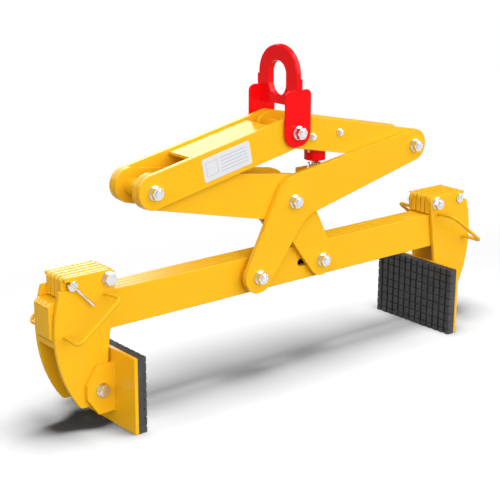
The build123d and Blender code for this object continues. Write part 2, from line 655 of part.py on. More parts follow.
def pad_lugs():
    """Two lugs on the back of the left pad, outside the side plates of the jaw."""
    outline = Polygon(
        (PAD_BACK, PAD_BOLT_Z - LUG_HALF_HEIGHT),
        (PAD_BACK, PAD_BOLT_Z + LUG_HALF_HEIGHT),
        (PAD_BACK - LUG_SHOULDER, PAD_BOLT_Z + LUG_HALF_HEIGHT),
        (PAD_BACK - LUG_REACH, PAD_BOLT_Z + LUG_HALF_NOSE),
        (PAD_BACK - LUG_REACH, PAD_BOLT_Z - LUG_HALF_NOSE),
        (PAD_BACK - LUG_SHOULDER, PAD_BOLT_Z - LUG_HALF_HEIGHT),
    )
    return list(plate_pair(outline - hole(PAD_BOLT, PIVOT), LUG, LUG_SIDE))


def make_left_jaw():
    """All pieces of the left jaw, with the bolt heads and the pin's rod in front."""
    side_front, side_rear = plate_pair(jaw_outline(), JAW, JAW_SIDE)
    bar_left = PAD_BACK - CROSS_BAR_BACK
    bar_top = RAIL_BOTTOM - CROSS_BAR_GAP
    bar = box_outline(bar_left, bar_left + CROSS_BAR_LENGTH, bar_top - CROSS_BAR_HEIGHT, bar_top)
    front_handle = handle()
    bolts = []
    nuts = []
    for point, grip in ((GUIDE_BOLT, JAW_SIDE), (PAD_BOLT, LUG_SIDE)):
        bolts.append(bolt(point, PIVOT, grip, grip))
        nuts.extend(nut_set(point, PIVOT, grip, grip))
    back_plate = box_outline(PAD_BACK, RUBBER_BACK, 0, PAD_HEIGHT)
    return {
        "side_front": side_front,
        "side_rear": side_rear,
        "guide_pack": guide_pack(),
        "cross_bar": across(bar, -JAW, JAW),
        "handles": [front_handle, mirror(front_handle, about=Plane.XZ)],
        "bolts": [mirror(solid, about=Plane.XZ) for solid in bolts],
        "nut_sets": [mirror(solid, about=Plane.XZ) for solid in nuts],
        "lock_pin": lock_pin(),
        "pad_plate": plate(back_plate, -PAD_WIDTH / 2, PAD_WIDTH / 2, ROD_EDGE),
        "pad_lugs": pad_lugs(),
        "pad_rubber": rubber_pad(),
    }


def make_all():
    """Every piece of the clamp by its node name."""
    nodes = {}
    nodes.update(make_rails())
    nodes.update(make_scissor())
    nodes.update(make_eye())
    nodes.update(make_latch())
    for name, pieces in make_left_jaw().items():
        pieces = pieces if isinstance(pieces, list) else [pieces]
        nodes["left_" + name] = pieces
        nodes["right_" + name] = [piece.rotate(Axis.Z, 180) for piece in pieces]
    return nodes


def save(nodes):
    """Write one file for each node."""
    os.makedirs("parts", exist_ok=True)
    for name, pieces in nodes.items():
        pieces = pieces if isinstance(pieces, list) else [pieces]
        solids = [solid for piece in pieces for solid in piece.solids()]
        shape = solids[0] if len(solids) == 1 else Compound(children=solids)
        shape.label = name
        export_step(shape, "parts/" + name + ".step")


save(make_all())
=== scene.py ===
"""Dresses the block lifting clamp: paint, zinc, rubber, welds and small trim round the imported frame."""

import json
import logging
import math
from dataclasses import dataclass
from enum import Enum
from typing import Any, Optional, Union

import bmesh
import bpy
from mathutils import Matrix, Vector

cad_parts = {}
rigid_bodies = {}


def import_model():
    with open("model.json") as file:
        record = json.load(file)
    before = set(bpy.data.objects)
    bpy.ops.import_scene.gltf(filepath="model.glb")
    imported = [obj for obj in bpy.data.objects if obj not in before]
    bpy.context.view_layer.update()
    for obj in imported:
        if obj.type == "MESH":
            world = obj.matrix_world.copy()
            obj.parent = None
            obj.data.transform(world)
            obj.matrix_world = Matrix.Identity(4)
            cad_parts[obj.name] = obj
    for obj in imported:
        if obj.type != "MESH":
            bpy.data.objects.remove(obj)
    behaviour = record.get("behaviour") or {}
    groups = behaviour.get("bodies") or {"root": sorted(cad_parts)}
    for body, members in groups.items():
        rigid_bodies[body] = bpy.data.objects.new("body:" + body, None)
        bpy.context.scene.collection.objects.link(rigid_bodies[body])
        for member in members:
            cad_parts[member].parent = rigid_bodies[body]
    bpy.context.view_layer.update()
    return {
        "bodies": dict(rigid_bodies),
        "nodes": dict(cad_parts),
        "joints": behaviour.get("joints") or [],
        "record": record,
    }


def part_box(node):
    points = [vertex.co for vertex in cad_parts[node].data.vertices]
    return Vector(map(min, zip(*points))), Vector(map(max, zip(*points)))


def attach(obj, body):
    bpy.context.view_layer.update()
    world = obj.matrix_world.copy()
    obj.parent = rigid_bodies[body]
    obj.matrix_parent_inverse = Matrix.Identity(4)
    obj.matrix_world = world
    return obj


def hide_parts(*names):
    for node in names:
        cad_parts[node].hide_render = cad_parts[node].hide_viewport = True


LOG = logging.getLogger("clamp")
MM = 0.001


class Slot(Enum):
    """Material slots of the record."""

    YELLOW = "yellow_paint"
    RED = "red_paint"
    ZINC = "zinc_steel"
    RUBBER = "rubber"


class Term:
    """A node socket that can stand in a sum."""

    def __init__(self, tree: "Tree", socket: bpy.types.NodeSocket) -> None:
        """Wraps a socket of a tree.

        Args:
            tree: the tree that the socket belongs to.
            socket: the output socket.
        """
        self.tree = tree
        self.socket = socket

    def _math(self, operation: str, first: "Operand", second: "Operand") -> "Term":
        """Adds one Math node.

        Args:
            operation: the node's operation.
            first: the upper operand.
            second: the lower operand.

        Returns:
            The node's result.
        """
        return self.tree.add("ShaderNodeMath", {"operation": operation}, {0: first, 1: second}).term()

    def __add__(self, other: "Operand") -> "Term":
        """Sum."""
        return self._math("ADD", self, other)

    def __radd__(self, other: "Operand") -> "Term":
        """Sum with a number in front."""
        return self._math("ADD", other, self)

    def __sub__(self, other: "Operand") -> "Term":
        """Difference."""
        return self._math("SUBTRACT", self, other)

    def __rsub__(self, other: "Operand") -> "Term":
        """Difference from a number."""
        return self._math("SUBTRACT", other, self)

    def __mul__(self, other: "Operand") -> "Term":
        """Product."""
        return self._math("MULTIPLY", self, other)

    def __rmul__(self, other: "Operand") -> "Term":
        """Product with a number in front."""
        return self._math("MULTIPLY", other, self)

    def __truediv__(self, other: "Operand") -> "Term":
        """Quotient."""
        return self._math("DIVIDE", self, other)

    def __gt__(self, other: "Operand") -> "Term":
        """One where the value is above the other, else nought."""
        return self._math("GREATER_THAN", self, other)

    def sine(self) -> "Term":
        """Sine of the value in radians."""
        return self.tree.add("ShaderNodeMath", {"operation": "SINE"}, {0: self}).term()

    def size(self) -> "Term":
        """The value without its sign."""
        return self.tree.add("ShaderNodeMath", {"operation": "ABSOLUTE"}, {0: self}).term()

    def at_least(self, low: float) -> "Term":
        """The term, but never under a lowest value."""
        return self._math("MAXIMUM", self, low)

    def to_nearest(self, pitch: float) -> "Term":
        """How far the value is from the nearest multiple of the pitch."""
        return self._math("PINGPONG", self, pitch / 2)

    def smooth(self, low: float, high: float) -> "Term":
        """Eases the value from nought at low to one at high.

        Args:
            low: value that gives nought.
            high: value that gives one.

        Returns:
            The eased value.
        """
        settings = {"interpolation_type": "SMOOTHSTEP"}
        inputs = {"Value": self, "From Min": low, "From Max": high}
        return self.tree.add("ShaderNodeMapRange", settings, inputs).term()


Operand = Union[Term, float, int]


class Made:
    """A node that was just added."""

    def __init__(self, tree: "Tree", node: bpy.types.Node) -> None:
        """Keeps a node with its tree.

        Args:
            tree: the tree that holds the node.
            node: the node.
        """
        self.tree = tree
        self.node = node

    def term(self, output: Union[int, str] = 0) -> Term:
        """One of the node's outputs.

        Args:
            output: the output's number or name.

        Returns:
            The wrapped socket.
        """
        return Term(self.tree, self.node.outputs[output])


class Tree:
    """Adds nodes to a shader, world or geometry tree."""

    def __init__(self, tree: bpy.types.NodeTree) -> None:
        """Starts from an empty tree.

        Args:
            tree: the tree to fill.
        """
        self.tree = tree
        tree.nodes.clear()

    def feed(self, socket: bpy.types.NodeSocket, value: Any) -> None:
        """Links or sets one input.

        Args:
            socket: the input socket.
            value: a term to link, or a plain value to set.
        """
        if isinstance(value, Term):
            self.tree.links.new(value.socket, socket)
        else:
            socket.default_value = value

    def add(self, kind: str, settings: Optional[dict[str, Any]] = None,
            inputs: Optional[dict[Union[int, str], Any]] = None) -> Made:
        """Adds a node.

        Args:
            kind: the node's type.
            settings: values of the node's own properties.
            inputs: values or terms for its input sockets, by number or name.

        Returns:
            The new node.
        """
        node = self.tree.nodes.new(kind)
        for key, value in (settings or {}).items():
            setattr(node, key, value)
        for key, value in (inputs or {}).items():
            if isinstance(value, list):
                for each in value:
                    self.feed(node.inputs[key], each)
            else:
                self.feed(node.inputs[key], value)
        return Made(self, node)

    def vector(self, x: Operand = 0.0, y: Operand = 0.0, z: Operand = 0.0) -> Term:
        """A vector from three numbers or terms."""
        return self.add("ShaderNodeCombineXYZ", None, {0: x, 1: y, 2: z}).term()

    def parts(self, vector: Term) -> tuple[Term, Term, Term]:
        """The three numbers of a vector."""
        split = self.add("ShaderNodeSeparateXYZ", None, {0: vector})
        return split.term(0), split.term(1), split.term(2)

    def blend(self, factor: Operand, first: Any, second: Any) -> Term:
        """Mixes two colours.

        Args:
            factor: share of the second colour.
            first: colour or term at nought.
            second: colour or term at one.

        Returns:
            The mixed colour.
        """
        made = self.add("ShaderNodeMix", {"data_type": "RGBA"}, {0: factor, 6: first, 7: second})
        return made.term(2)


Colour = tuple[float, float, float]


def opaque(colour: Colour, gain: float = 1.0) -> tuple[float, float, float, float]:
    """A colour with full alpha.

    Args:
        colour: red, green and blue.
        gain: what each is multiplied by.

    Returns:
        The colour as four numbers.
    """
    return (colour[0] * gain, colour[1] * gain, colour[2] * gain, 1.0)


@dataclass(frozen=True)
class Finish:
    """A surface finish and its colour."""

    name: str
    colour: Colour

    def material(self) -> bpy.types.Material:
        """Builds the finish.

        Returns:
            The new material.
        """
        material = bpy.data.materials.new(self.name)
        material.use_nodes = True
        tree = Tree(material.node_tree)
        place = tree.add("ShaderNodeTexCoord").term("Object")
        shader = tree.add("ShaderNodeBsdfPrincipled")
        self.dress(tree, place, shader)
        tree.add("ShaderNodeOutputMaterial", None, {"Surface": shader.term()})
        material.diffuse_color = opaque(self.colour)
        return material

    def dress(self, tree: Tree, place: Term, shader: Made) -> None:
        """Feeds the shader's sockets.

        Args:
            tree: the material's tree.
            place: object coordinates in metres.
            shader: the principled shader.
        """
        raise NotImplementedError

    def noise(self, tree: Tree, place: Term, scale: float, detail: float = 3.0, rough: float = 0.5) -> Term:
        """Cloudy noise from nought to one.

        Args:
            tree: the material's tree.
            place: coordinates.
            scale: cells for each metre.
            detail: octaves.
            rough: strength of the finer octaves.

        Returns:
            The noise.
        """
        inputs = {"Vector": place, "Scale": scale, "Detail": detail, "Roughness": rough}
        return tree.add("ShaderNodeTexNoise", None, inputs).term(0)

    def bump(self, tree: Tree, height: Term, depth: float, strength: float) -> Term:
        """Normals of a rough surface.

        Args:
            tree: the material's tree.
            height: height from nought to one.
            depth: real height in metres.
            strength: share of the effect.

        Returns:
            The bent normal.
        """
        inputs = {"Height": height, "Distance": depth, "Strength": strength}
        return tree.add("ShaderNodeBump", None, inputs).term()


@dataclass(frozen=True)
class GlossPaint(Finish):
    """Stoved gloss paint with a faint orange peel, drifts of shade and a few dull scuffs."""

    deep: Colour = (0.8, 0.4, 0.01)
    roughness: float = 0.16
    specular: float = 0.09
    drift_scale: float = 5.0
    scuff_scale: float = 55.0
    peel_scale: float = 420.0
    peel_depth: float = 0.2 * MM

    def dress(self, tree: Tree, place: Term, shader: Made) -> None:
        """Feeds the shader's sockets.

        Args:
            tree: the material's tree.
            place: object coordinates in metres.
            shader: the principled shader.
        """
        drift = self.noise(tree, place, self.drift_scale, 2.0)
        scuff = self.noise(tree, place, self.scuff_scale, 6.0, 0.7).smooth(0.66, 0.8)
        peel = self.noise(tree, place, self.peel_scale, 1.0)
        shade = tree.blend(drift.smooth(0.3, 0.75) * 0.35, opaque(self.colour), opaque(self.deep))
        worn = tree.blend(scuff * 0.15, shade, opaque(self.deep, 0.8))
        node = shader.node
        tree.feed(node.inputs["Base Color"], self.tone(tree, place, worn))
        tree.feed(node.inputs["Roughness"], self.roughness + drift * 0.06 + scuff * 0.15)
        tree.feed(node.inputs["Normal"], self.bump(tree, peel, self.peel_depth, 0.06))
        tree.feed(node.inputs["Specular IOR Level"], self.specular)

    def tone(self, tree: Tree, place: Term, colour: Term) -> Term:
        """Leaves the paint clean."""
        return colour


@dataclass(frozen=True)
class SeamedPaint(GlossPaint):
    """Gloss paint on stacked plates: painted shade and dirt in the seams between plates, faded out along
    the beam, and a near-black streak along a bolt's track that is lubricant and painted shade of the slot.
    """

    pitch: float = 17.5 * MM
    reach: float = 30.0 * MM
    seam: float = 1.3 * MM
    seam_grime_and_shade: Colour = (0.11, 0.05, 0.006)
    grease_and_slot_shade: Colour = (0.012, 0.009, 0.006)
    track_height: float = 296.0 * MM
    track_half: float = 0.0
    track_reach: float = 300.0 * MM
    seam_fade: Optional[tuple[float, float]] = None
    slides: bool = False

    def tone(self, tree: Tree, place: Term, colour: Term) -> Term:
        """Paints shade and dirt into the seams, and lubricant and the slot's shade along the bolt's track.

        Args:
            tree: the material's tree.
            place: object coordinates in metres.
            colour: the clean paint.

        Returns:
            The colour with the painted seam shade and dirt, and the streak of lubricant and painted slot
            shade.
        """
        along, across, height = tree.parts(place)
        # Painted shade and dirt: a dark line in each seam between stacked plates, standing in for the shade
        # in the grooves.
        line = 1 - across.to_nearest(self.pitch).smooth(self.seam * 0.4, self.seam)
        line = line * (1 - across.size().smooth(self.reach, self.reach + self.seam))
        # The painted seam shade fades out along the beam between two places.
        if self.seam_fade:
            line = line * (1 - along.smooth(*self.seam_fade))
        if self.slides:
            flat = tree.parts(tree.add("ShaderNodeTexCoord").term("Normal"))[1].size()
            line = line * (1 - flat.smooth(0.5, 0.9))
        colour = tree.blend(line * 0.85, colour, opaque(self.seam_grime_and_shade))
        if not self.track_half:
            return colour
        # Lubricant and painted shade: a near-black streak along the bolt's track, standing in for the dark
        # slot.
        track = 1 - (height - self.track_height).size().smooth(self.track_half, self.track_half * 1.2)
        track = track * (1 - along.size().smooth(self.track_reach, self.track_reach * 1.05))
        return tree.blend(track, colour, opaque(self.grease_and_slot_shade))


@dataclass(frozen=True)
class BrightZinc(Finish):
    """Zinc-plated steel with a faint grain and dull patches."""

    roughness: float = 0.14
    cloud_scale: float = 60.0
    grain_scale: tuple[float, float, float] = (260.0, 1500.0, 1500.0)
    grain_depth: float = 0.08 * MM

    def dress(self, tree: Tree, place: Term, shader: Made) -> None:
        """Feeds the shader's sockets.

        Args:
            tree: the material's tree.
            place: object coordinates in metres.
            shader: the principled shader.
        """
        cloud = self.noise(tree, place, self.cloud_scale, 4.0)
        drawn_out = {"Vector": place, "Scale": self.grain_scale}
        grain = self.noise(tree, tree.add("ShaderNodeMapping", None, drawn_out).term(), 1.0, 2.0)
        shade = tree.blend(cloud.smooth(0.35, 0.7) * 0.5, opaque(self.colour), opaque(self.colour, 0.82))
        node = shader.node
        tree.feed(node.inputs["Base Color"], shade)
        tree.feed(node.inputs["Metallic"], 1.0)
        tree.feed(node.inputs["Roughness"], self.roughness + cloud * 0.08 + grain * 0.05)
        tree.feed(node.inputs["Normal"], self.bump(tree, grain, self.grain_depth, 0.15))


@dataclass(frozen=True)
class MouldedRubber(Finish):
    """Dull black rubber with a fine mould grain and a little dust."""

    dust: Colour = (0.16, 0.155, 0.15)
    cloud_scale: float = 24.0
    grain_scale: float = 900.0
    grain_depth: float = 0.4 * MM

    def dress(self, tree: Tree, place: Term, shader: Made) -> None:
        """Feeds the shader's sockets.

        Args:
            tree: the material's tree.
            place: object coordinates in metres.
            shader: the principled shader.
        """
        grain = self.noise(tree, place, self.grain_scale, 3.0)
        cloud = self.noise(tree, place, self.cloud_scale, 5.0, 0.6)
        shade = tree.blend(cloud.smooth(0.45, 0.8) * 0.3, opaque(self.colour), opaque(self.dust))
        node = shader.node
        tree.feed(node.inputs["Base Color"], shade)
        tree.feed(node.inputs["Roughness"], 0.6 + cloud * 0.2)
        tree.feed(node.inputs["Normal"], self.bump(tree, grain, self.grain_depth, 0.3))


@dataclass(frozen=True)
class SatinSheet(Finish):
    """Satin metal sheet with a faint brushed grain."""

    metallic: float = 0.25
    cloud_scale: float = 40.0
    grain_scale: tuple[float, float, float] = (30.0, 2500.0, 2500.0)
    grain_depth: float = 0.05 * MM

    def dress(self, tree: Tree, place: Term, shader: Made) -> None:
        """Feeds the shader's sockets.

        Args:
            tree: the material's tree.
            place: object coordinates in metres.
            shader: the principled shader.
        """
        drawn_out = {"Vector": place, "Scale": self.grain_scale}
        grain = self.noise(tree, tree.add("ShaderNodeMapping", None, drawn_out).term(), 1.0, 3.0)
        cloud = self.noise(tree, place, self.cloud_scale, 4.0)
        shade = tree.blend(grain * 0.3 + cloud * 0.2, opaque(self.colour), opaque(self.colour, 0.86))
        node = shader.node
        tree.feed(node.inputs["Base Color"], shade)
        tree.feed(node.inputs["Metallic"], self.metallic)
        tree.feed(node.inputs["Roughness"], 0.4 + grain * 0.14)
        tree.feed(node.inputs["Normal"], self.bump(tree, grain, self.grain_depth, 0.15))


class Paintshop:
    """Makes each finish once and puts it on the CAD nodes."""

    def __init__(self) -> None:
        """Builds the finishes."""
        yellow = ((0.87, 0.465, 0.013), (0.84, 0.42, 0.011))
        self.by_slot = {
            Slot.YELLOW: GlossPaint("yellow_gloss", *yellow).material(),
            Slot.RED: GlossPaint("red_gloss", (0.88, 0.004, 0.006), (0.8, 0.003, 0.005)).material(),
            Slot.ZINC: BrightZinc("bright_zinc", (0.78, 0.785, 0.8)).material(),
            Slot.RUBBER: MouldedRubber("black_rubber", (0.036, 0.036, 0.037)).material(),
        }
        beam = {"seam_fade": (-520.0 * MM, -360.0 * MM), "slides": True}
        self.outer_rails = SeamedPaint("yellow_outer_rails", *yellow, **beam).material()
        streaked_rails = SeamedPaint("yellow_inner_rails", *yellow, track_half=13.0 * MM, **beam)
        self.inner_rails = streaked_rails.material()
        self.packs = SeamedPaint("yellow_packs", *yellow, pitch=18.25 * MM).material()
        self.sheet = SatinSheet("satin_sheet", (0.66, 0.66, 0.67)).material()
        self.ink = SatinSheet("blue_rules", (0.2, 0.2, 0.45), 0.0).material()

    def dress_nodes(self, frame: dict[str, Any]) -> None:
        """Paints every CAD node after the record's slots.
        """
        slots = {part["node"]: Slot(part["material_slot"]) for part in frame["record"]["subparts"]}
        for name, node in frame["nodes"].items():
            finish = self.stacked(name) or self.by_slot[slots[name]]
            node.data.materials.clear()
            node.data.materials.append(finish)
            LOG.info("node %s gets %s", name, finish.name)

    def stacked(self, name: str) -> Optional[bpy.types.Material]:
        """The finish of a node that is one plate of a stack, or nothing.

        Args:
            name: name of the node.

        Returns:
            The finish, if it is such a node.
        """
        if name.endswith("guide_pack"):
            return self.packs
        if name.startswith("inner_rail"):
            return self.inner_rails
        return self.outer_rails if name.startswith("outer_rail") else None


class Grown:
    """A geometry tree with named sizes that is turned into a plain mesh."""

    SOCKETS = {float: "NodeSocketFloat", int: "NodeSocketInt"}

    def __init__(self, name: str, sizes: dict[str, Union[float, int]], takes_curve: bool = False) -> None:
        """Args:
            name: name of the tree.
            sizes: named sizes and their values.
            takes_curve: whether the tree works on the object's own curves.
        """
        group = bpy.data.node_groups.new(name, "GeometryNodeTree")
        face = group.interface
        face.new_socket("Geometry", in_out="OUTPUT", socket_type="NodeSocketGeometry")
        if takes_curve:
            face.new_socket("Geometry", in_out="INPUT", socket_type="NodeSocketGeometry")
        self.sizes = sizes
        self.keys: dict[str, str] = {}
        for size, value in sizes.items():
            socket = face.new_socket(size, in_out="INPUT", socket_type=self.SOCKETS[type(value)])
            self.keys[size] = socket.identifier
        socket = face.new_socket("Material", in_out="INPUT", socket_type="NodeSocketMaterial")
        self.keys["Material"] = socket.identifier
        self.group = group
        self.tree = Tree(group)
        self.entry = self.tree.add("NodeGroupInput")

    def size(self, name: str) -> Term:
        """One of the named inputs as a term."""
        return self.entry.term(name)

    def close(self, geometry: Term) -> None:
        """Ends the tree in real faces with their material.

        Args:
            geometry: the last geometry.
        """
        real = self.tree.add("GeometryNodeRealizeInstances", None, {0: geometry}).term()
        inputs = {"Geometry": real, "Material": self.size("Material")}
        faced = self.tree.add("GeometryNodeSetMaterial", None, inputs).term()
        self.tree.add("NodeGroupOutput", None, {0: faced})

    def grow(self, name: str, material: bpy.types.Material, place: Matrix,
             base: Optional[bpy.types.Object] = None) -> bpy.types.Object:
        """Runs the tree and keeps its result as a plain mesh at the origin.

        Args:
            name: name of the piece.
            material: finish of the piece.
            place: where the tree's own axes lie in the row frame.
            base: object with the curves that the tree works on.

        Returns:
            The finished piece.
        """
        if base is None:
            base = bpy.data.objects.new(name + "_seed", bpy.data.meshes.new(name + "_seed"))
            bpy.context.scene.collection.objects.link(base)
        modifier = base.modifiers.new("grow", "NODES")
        modifier.node_group = self.group
        for size, value in self.sizes.items():
            modifier[self.keys[size]] = value
        modifier[self.keys["Material"]] = material
        graph = bpy.context.evaluated_depsgraph_get()
        mesh = bpy.data.meshes.new_from_object(base.evaluated_get(graph))
        base.modifiers.remove(modifier)
        bpy.data.objects.remove(base)
        mesh.name = name
        mesh.transform(place)
        return add_piece(name, mesh)


def add_piece(name: str, mesh: bpy.types.Mesh) -> bpy.types.Object:
    """Puts a mesh into the scene.

    Args:
        name: name of the piece.
        mesh: its mesh, in the row frame.

    Returns:
        The new object.
    """
    piece = bpy.data.objects.new(name, mesh)
    bpy.context.scene.collection.objects.link(piece)
    return piece


def settle(piece: bpy.types.Object, body: str, slot: Slot) -> None:
    """Lets a piece ride on a body.

    Args:
        piece: the piece.
        body: the CAD body that carries it.
        slot: not used.
    """
    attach(piece, body)
    LOG.info("piece %s rides on %s", piece.name, body)


def frame_matrix(origin: Vector, along: Vector, up: Vector, out: Vector) -> Matrix:
    """Matrix from three axes and a place.

    Args:
        origin: place of the origin.
        along: where the first axis points.
        up: where the second axis points.
        out: where the third axis points.

    Returns:
        The matrix.
    """
    matrix = Matrix((along, up, out)).transposed().to_4x4()
    matrix.translation = origin
    return matrix


@dataclass
class RubberFacing:
    """Ribbed rubber facing of a pad: a slab with rows of chamfered blocks, narrower along the edges."""

    side: str
    columns: int = 13
    rows: int = 9
    pitch: float = 24.0 * MM
    groove_depth: float = 9.0 * MM
    upright_groove: float = 5.8 * MM
    level_groove: float = 2.3 * MM
    chamfer: float = 0.9 * MM
    sink: float = 0.5 * MM

    def tree(self, width: float, height: float, depth: float) -> Grown:
        """Builds the geometry tree.

        Args:
            width: width of the pad.
            height: height of the pad.
            depth: thickness of the rubber.

        Returns:
            The tree, ready to run.
        """
        grown = Grown("ribbed_rubber", {
            "Width": width, "Height": height, "Depth": depth, "Columns": self.columns, "Rows": self.rows,
            "Pitch": self.pitch, "Groove Depth": self.groove_depth, "Upright Groove": self.upright_groove,
            "Level Groove": self.level_groove, "Chamfer": self.chamfer, "Sink": self.sink,
        })
        tree = grown.tree
        size = grown.size
        block_width = size("Pitch") - size("Upright Groove")
        block_height = size("Pitch") - size("Level Groove")
        straight = size("Groove Depth") + size("Sink") - size("Chamfer")
        extent = tree.vector(block_width, block_height, straight)
        block = tree.add("GeometryNodeMeshCube", None, {"Size": extent}).term()
        facing = tree.parts(tree.add("GeometryNodeInputNormal").term())[2] > 0.5
        drawn = tree.add("GeometryNodeExtrudeMesh", {"mode": "FACES"},
                         {"Mesh": block, "Selection": facing, "Offset Scale": size("Chamfer")})
        shrink = 1 - 4 * size("Chamfer") / (block_width + block_height)
        eased = tree.add("GeometryNodeScaleElements", None, {
            "Geometry": drawn.term("Mesh"), "Selection": drawn.term("Top"), "Scale": shrink}).term()
        lift = tree.vector(z=size("Depth") - size("Groove Depth") - size("Sink") + straight / 2)
        raised = tree.add("GeometryNodeTransform", None, {"Geometry": eased, "Translation": lift}).term()
        across = (size("Columns") - 1) * size("Pitch")
        upward = (size("Rows") - 1) * size("Pitch")
        grid = tree.add("GeometryNodeMeshGrid", None, {
            "Size X": across, "Size Y": upward,
            "Vertices X": size("Columns"), "Vertices Y": size("Rows")}).term()
        place = tree.parts(tree.add("GeometryNodeInputPosition").term())
        x, narrow = self.trim(place[0], size("Width"), across / 2, block_width)
        y, low = self.trim(place[1], size("Height"), upward / 2, block_height)
        inputs = {"Geometry": grid, "Position": tree.vector(x, y)}
        points = tree.add("GeometryNodeSetPosition", None, inputs).term()
        blocks = tree.add("GeometryNodeInstanceOnPoints", None, {
            "Points": points, "Instance": raised, "Scale": tree.vector(narrow, low, 1.0)}).term()
        floor = size("Depth") - size("Groove Depth")
        extent = tree.vector(size("Width"), size("Height"), floor)
        slab = tree.add("GeometryNodeMeshCube", None, {"Size": extent}).term()
        lift = tree.vector(z=floor / 2)
        slab = tree.add("GeometryNodeTransform", None, {"Geometry": slab, "Translation": lift}).term()
        joined = tree.add("GeometryNodeJoinGeometry", None, {0: [slab, blocks]}).term()
        grown.close(joined)
        return grown

    def trim(self, place: Term, extent: Term, outermost: Term, block: Term) -> tuple[Term, Term]:
        """Fits the blocks of an outer row between the last groove and the pad's edge.

        Args:
            place: a block's place along the row.
            extent: length of the row.
            outermost: place of the last block before it is fitted.
            block: length of a full block.

        Returns:
            The block's new place, and its length as a share of a full block.
        """
        left_over = extent / 2 - outermost + block / 2
        last = place.size() > outermost - block
        moved = place * (1 + last * ((extent - left_over) / 2 / outermost - 1))
        return moved, 1 + last * (left_over / block - 1)

    def build(self, shop: Paintshop) -> None:
        """Makes the facing in the place of its CAD node.

        Args:
            shop: the finishes.
        """
        node = self.side + "_pad_rubber"
        low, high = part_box(node)
        inward = 1.0 if self.side == "left" else -1.0
        back = low.x if self.side == "left" else high.x
        origin = Vector((back, (low.y + high.y) / 2, (low.z + high.z) / 2))
        place = frame_matrix(origin, Vector((0, inward, 0)), Vector((0, 0, 1)), Vector((inward, 0, 0)))
        grown = self.tree(high.y - low.y, high.z - low.z, high.x - low.x)
        piece = grown.grow(self.side + "_ribbed_facing", shop.by_slot[Slot.RUBBER], place)
        settle(piece, self.side + "_pad", Slot.RUBBER)
        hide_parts(node)


